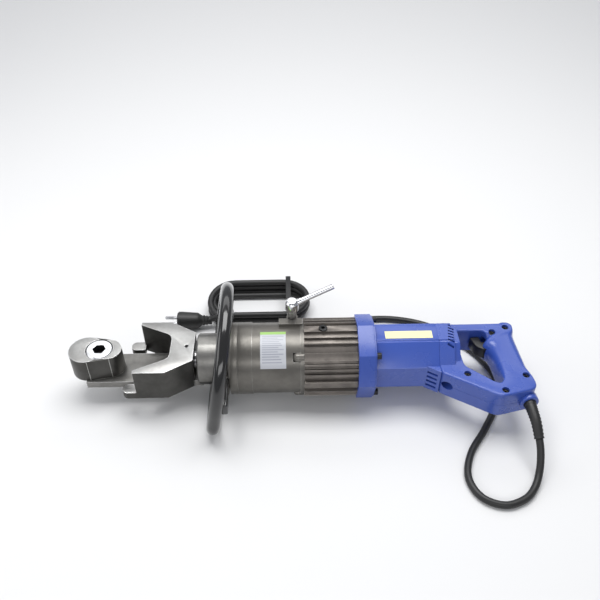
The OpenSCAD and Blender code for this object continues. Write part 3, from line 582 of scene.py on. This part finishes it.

# %% [markdown]
# ## Release lever
# The lever's stem, hub and rod are chrome. The stem and its neck are turned on a lathe, the collar is fluted, and the
# hub and rod are rounded copies of their solids.

# %% Release lever
valve_low, valve_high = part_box("release_valve")
valve_mid = (valve_low + valve_high) / 2
clear()
bpy.ops.mesh.primitive_cylinder_add(vertices=48, radius=5.6 * mm, depth=9.6 * mm,
                                    location=(valve_mid.x, valve_mid.y, valve_high.z - 6.6 * mm))
knurl = bpy.context.object
bpy.ops.object.transform_apply(location=True)
for vertex in knurl.data.vertices:
    if (vertex.index // 2) % 2:
        vertex.co.x = valve_mid.x + (vertex.co.x - valve_mid.x) * 0.9
        vertex.co.y = valve_mid.y + (vertex.co.y - valve_mid.y) * 0.9
round_edges(knurl, 0.3, 2, 50)
complete(knurl, "valve_knurled_collar", "hard_chrome", "release_lever", smooth=20)
stem = turned("stem", [(0, 0), (3.4, 0), (3.4, 10), (0, 10)], (valve_mid.x, valve_mid.y, valve_low.z), steps=32)
stem_neck = turned("neck", [(0, 0), (4.6, 0), (4.6, 2.2), (0, 2.2)], (valve_mid.x, valve_mid.y, valve_high.z - 2 * mm))
complete(stem, "valve_stem", "hard_chrome", "release_lever", "release_valve")
complete(stem_neck, "valve_neck", "hard_chrome", "release_lever")
rounded_copy("lever_hub", "lever_hub_part", "hard_chrome", "release_lever", 0.7, 3)
rounded_copy("lever_rod", "lever_rod_part", "hard_chrome", "release_lever", 0.4, 2, 60)

# %% [markdown]
# ## Return spring
# The spring is shut by the piston as the ram goes out. Its coil is a plain copy of the solid, with a mesh of its own.

# %% Return spring
spring = bpy.data.objects.new("return_spring_coil", nodes["return_spring"].data.copy())
bpy.context.scene.collection.objects.link(spring)
complete(spring, "return_spring_coil", "black_steel", "frame", "return_spring")
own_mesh(spring)

# %% [markdown]
# ## Motor
# The flange and the motor housing are blue moulded plastic.

# %% Flange and motor housing
rounded_copy("motor_flange", "motor_flange_plate", "blue_plastic", "frame", 0.9, 3)
rounded_copy("flange_screws", "flange_screw_set", "black_steel", "frame", 0.5)
rounded_copy("motor_housing", "motor_housing_shell", "blue_plastic", "frame", 0.9, 3)
rounded_copy("brush_caps", "brush_cap_pair", "black_plastic", "frame", 0.3)

# %% [markdown]
# ## D-handle
# The handle is moulded in two halves with a round grip, a thinner front arm and a collar that joins the motor
# housing. Cutting a hole in a plate leaves a messy top face that can't be rounded well, so the ring is laid out as a
# ring of cross-sections between its outer outline and its opening, each a rounded rectangle with wide radii at the
# grip and narrow ones elsewhere. Collar, slots and screw wells come from boolean modifiers, and last it is cut
# into its two halves along the seam.

# %% Outlines of the handle, from where it meets the motor housing
handle_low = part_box("handle_upper_half")[0]
handle_x = handle_low.x
outer_outline = [(0, 34.5), (90, 34.5), (96, 37.2), (102, 32), (101, 24), (100.5, 14), (103, -40), (106, -67),
                 (102, -74), (64, -83.5), (58, -82), (0, -46.5)]
grip_opening = [(30, 20), (33, 22.5), (63, 22.5), (67, 17), (66, 10), (60.5, 7), (59.5, 2), (64, -3), (67, -14),
                (71, -57), (66, -63.5), (59, -61.5), (29, -35), (28, -10)]


def soft_corners(points, cut, steps=4):
    """The outline with each corner cut back by up to cut millimetres and rounded."""
    result = []
    for i, p in enumerate(points):
        corner, before, after = Vector(p), Vector(points[i - 1]), Vector(points[(i + 1) % len(points)])
        a = corner + (before - corner).normalized() * min(cut, (before - corner).length * 0.45)
        b = corner + (after - corner).normalized() * min(cut, (after - corner).length * 0.45)
        for k in range(steps + 1):
            t = k / steps
            result.append(a * (1 - t) ** 2 + corner * 2 * t * (1 - t) + b * t * t)
    return result


def on_ray(points, middle, angle):
    """Where a ray from the middle meets the outline."""
    d = Vector((math.cos(angle), math.sin(angle)))
    for i, a in enumerate(points):
        edge_line = points[(i + 1) % len(points)] - a
        across = d.x * edge_line.y - d.y * edge_line.x
        if abs(across) < 1e-9:
            continue
        gap = a - middle
        t = (gap.x * edge_line.y - gap.y * edge_line.x) / across
        u = (gap.x * d.y - gap.y * d.x) / across
        if t > 0 and -1e-6 <= u <= 1 + 1e-6:
            return middle + d * t


middle = Vector((48, 0))
outer_soft, opening_soft = soft_corners(outer_outline, 6), soft_corners(grip_opening, 5)
spread_of = {round(math.atan2(p.y - middle.y, p.x - middle.x), 3) for p in outer_soft + opening_soft}
angles = []
for a in sorted(spread_of):
    if not angles or a - angles[-1] > 0.012:
        angles.append(a)
print(len(angles), "spokes in the handle ring")

# %% The ring, lofted section by section
half_thick = 18.0


def section(angle):
    """A rounded rectangle across the ring at one spoke: wide radii at the grip, narrow ones elsewhere."""
    inner, outer = on_ray(opening_soft, middle, angle), on_ray(outer_soft, middle, angle)
    reach = outer - inner
    across = reach.normalized()
    points = []
    for end, inward, small, large in ((inner, across, 2.2, 15.5), (outer, -across, 2.2, 10)):
        grip = (min(max((end.x - 50) / 12, 0), 1) * min(max((end.y + 60) / 22, 0), 1)
                * min(max(((19 if end is inner else 24) - end.y) / 8, 0), 1))
        grip = grip * grip * (3 - 2 * grip)
        radius = min(small + (large - small) * grip, reach.length * 0.45)
        arc = []
        for k in range(6):
            a = math.pi / 2 * k / 5
            flat = end + inward * radius * (1 - math.cos(a))
            arc.append((flat, half_thick - radius + radius * math.sin(a)))
        arc = [(p, -z) for p, z in reversed(arc)] + arc
        points += arc if end is inner else reversed(arc)
    return [Vector((handle_x + p.x * mm, p.y * mm, axis_z + z * mm)) for p, z in points]


clear()
bpy.ops.mesh.primitive_circle_add(vertices=24, radius=mm)
handle = bpy.context.object
bpy.ops.object.mode_set(mode="EDIT")
bpy.ops.mesh.select_all(action="SELECT")
for i, a in enumerate(angles):
    if i:
        bpy.ops.mesh.extrude_edges_move()
    bpy.ops.object.mode_set(mode="OBJECT")
    for vertex, p in zip([v for v in handle.data.vertices if v.select], section(a)):
        vertex.co = p
    bpy.ops.object.mode_set(mode="EDIT")
bpy.ops.object.mode_set(mode="OBJECT")
for vertex in handle.data.vertices:
    vertex.select = vertex.index < 24 or vertex.index >= 24 * (len(angles) - 1)
for e in handle.data.edges:
    e.select = all(handle.data.vertices[i].select for i in e.vertices)
bpy.ops.object.mode_set(mode="EDIT")
bpy.ops.mesh.bridge_edge_loops()
bpy.ops.object.mode_set(mode="OBJECT")
tidy_mesh(handle)
print("handle ring", len(handle.data.polygons), "faces")

# %% Collar, gland and the things cut from the handle
def octagon_block(x0, x1, flats, bevel):
    """An octagonal bar along X with a flat on top."""
    clear()
    bpy.ops.mesh.primitive_cylinder_add(vertices=8, radius=flats / 2 / math.cos(math.pi / 8) * mm, depth=(x1 - x0) * mm,
                                        location=(handle_x + (x0 + x1) / 2 * mm, 0, axis_z),
                                        rotation=(0, math.radians(90), 0))
    block = bpy.context.object
    bpy.ops.object.transform_apply(rotation=True, location=False, scale=True)
    block.rotation_euler.x = math.radians(22.5)
    bpy.ops.object.transform_apply(rotation=True, location=False, scale=True)
    round_edges(block, bevel, 3, 30)
    return block


def block(x0, x1, y0, y1, z0, z1, turn=0):
    """A box between corners given from the handle's front, the middle and the axis, turned about its own Z."""
    clear()
    bpy.ops.mesh.primitive_cube_add(size=1, location=(handle_x + (x0 + x1) / 2 * mm, (y0 + y1) / 2 * mm,
                                                      axis_z + (z0 + z1) / 2 * mm),
                                    rotation=(0, 0, math.radians(turn)))
    piece = bpy.context.object
    piece.scale = ((x1 - x0) * mm, (y1 - y0) * mm, (z1 - z0) * mm)
    bpy.ops.object.transform_apply(scale=True, location=False, rotation=True)
    return piece


def pin(x, y, z0, z1, radius, turn=(0, 0, 0), sides=32):
    clear()
    bpy.ops.mesh.primitive_cylinder_add(vertices=sides, radius=radius * mm, depth=(z1 - z0) * mm,
                                        location=(handle_x + x * mm, y * mm, axis_z + (z0 + z1) / 2 * mm),
                                        rotation=[math.radians(a) for a in turn])
    return bpy.context.object


def combine(piece, other, operation):
    apply(piece, "BOOLEAN", object=other, operation=operation, solver="EXACT")
    bpy.data.objects.remove(other)


screw_places = [(21, 25), (92, 27), (74, 19.5), (97, -53), (30, -49), (68, -75)]
for part in (octagon_block(0, 19, 75, 1.2), octagon_block(18, 26, 67, 1.0), block(0, 18, -13, 13, 30, 38.3)):
    combine(handle, part, "UNION")
gland = pin(97, -76, -5, 5, 11, (90, 0, 6))
gland.location.z = axis_z
round_edges(gland, 1.5, 3, 40)
combine(handle, gland, "UNION")
knob = pin(92, 28.5, -17.5, 17.5, 8.5)
round_edges(knob, 1.5, 3, 40)
combine(handle, knob, "UNION")
for x, y in screw_places:
    combine(handle, pin(x, y, 12, 22, 4.2), "DIFFERENCE")
    combine(handle, pin(x, y, -14.2, 13, 2.3), "DIFFERENCE")
for i in range(7):
    slot = block(14.5 - i * 0.8, 22.5 - i * 0.8, 8.9 - 4.8 * i, 11.1 - 4.8 * i, 26, 50, -25)
    combine(handle, slot, "DIFFERENCE")
combine(handle, octagon_block(-1, 16, 69, 0.1), "DIFFERENCE")
bearing_seat = pin(19.5, 0, -3.6, 3.6, 9.05, (0, 90, 0))
bearing_seat.location.z = axis_z
combine(handle, bearing_seat, "DIFFERENCE")
combine(handle, block(58, 84, -2, 14, -8.5, 8.5), "DIFFERENCE")
combine(handle, block(63, 70, 12, 24, -8.5, 8.5), "DIFFERENCE")
gland_hole = pin(97, -74, -12, 20, 7.5, (90, 0, 6))
gland_hole.location = (handle_x + 97 * mm, -76 * mm, axis_z)
combine(handle, gland_hole, "DIFFERENCE")
for side in (-1, 1):
    tunnel = pin(8, side * 50, -20, 20, 6, (90, 0, 0))
    tunnel.location.z = axis_z
    combine(handle, tunnel, "DIFFERENCE")
tidy_mesh(handle)
print("handle cut", len(handle.data.polygons), "faces")

# %% Cut it along the seam
for name, node, sign in (("handle_upper_shell", "handle_upper_half", 1),
                         ("handle_lower_shell", "handle_lower_half", -1)):
    only(handle)
    bpy.ops.object.duplicate()
    half = bpy.context.object
    low, high = (0.12, 60) if sign > 0 else (-60, -0.12)
    combine(half, block(-10, 130, -120, 60, low, high), "INTERSECT")
    complete(half, name, "blue_plastic", "frame", node, smooth=42)
bpy.data.objects.remove(handle)
rounded_copy("handle_screws", "handle_screw_set", "black_steel", "frame", 0.3)
rounded_copy("trigger", "trigger_switch", "black_plastic", "trigger", 1.6, 3)

# %% [markdown]
# ## Pieces that keep their solids
# The inner parts and the labels show little, so their solids stay and only get the right finish.

# %% Label face: a header strip and plain bars
def label_finish(name, low, high, paper, strip, ink):
    """A printed film: header strip at the far edge, unlettered bars below it. low and high are the label's box."""
    material = bpy.data.materials.new(name)
    material.use_nodes = True
    tree = material.node_tree
    shader = tree.nodes["Principled BSDF"]
    split = tree.nodes.new("ShaderNodeSeparateXYZ")
    tree.links.new(tree.nodes.new("ShaderNodeTexCoord").outputs["Object"], split.inputs[0])
    down = math_node(tree, "DIVIDE", math_node(tree, "SUBTRACT", high.y, split.outputs["Y"]), high.y - low.y)
    along = math_node(tree, "DIVIDE", math_node(tree, "SUBTRACT", split.outputs["X"], low.x), high.x - low.x)
    header = math_node(tree, "LESS_THAN", down, 0.11)
    row = math_node(tree, "FRACT", math_node(tree, "MULTIPLY", down, 17))
    bar = math_node(tree, "LESS_THAN", row, 0.42)
    line_end = math_node(tree, "SINE", math_node(tree, "MULTIPLY",
                                                 math_node(tree, "FLOOR", math_node(tree, "MULTIPLY", down, 17)), 2.7))
    line_length = math_node(tree, "ADD", math_node(tree, "MULTIPLY", line_end, 0.12), 0.8)
    short = math_node(tree, "LESS_THAN", along, line_length)
    inside = math_node(tree, "MULTIPLY", math_node(tree, "GREATER_THAN", along, 0.07),
                       math_node(tree, "GREATER_THAN", down, 0.16))
    bars = math_node(tree, "MULTIPLY", math_node(tree, "MULTIPLY", bar, short),
                     math_node(tree, "MULTIPLY", inside, math_node(tree, "LESS_THAN", down, 0.93)))
    colour = None
    for mask, over in ((header, strip), (math_node(tree, "MULTIPLY", bars, 0.75), ink)):
        mix = tree.nodes.new("ShaderNodeMix")
        mix.data_type = "RGBA"
        tree.links.new(mask, mix.inputs["Factor"])
        if colour is None:
            mix.inputs["A"].default_value = (*paper, 1)
        else:
            tree.links.new(colour, mix.inputs["A"])
        mix.inputs["B"].default_value = (*over, 1)
        colour = mix.outputs["Result"]
    tree.links.new(colour, shader.inputs["Base Color"])
    shader.inputs["Roughness"].default_value = 0.42
    shader.inputs["Coat Weight"].default_value = 0.3
    finishes[name] = material


label_finish("label_white", *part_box("warning_label"), (0.47, 0.485, 0.52), (0.3, 0.52, 0.13), (0.25, 0.26, 0.32))
print("label finish made")

# %% Finishes for the remaining solids
for piece in frame["record"]["subparts"]:
    solid = nodes[piece["node"]]
    if solid.hide_render:
        continue
    solid.data.materials.clear()
    solid.data.materials.append(finishes[piece["material_slot"]])
print("remaining solids finished")
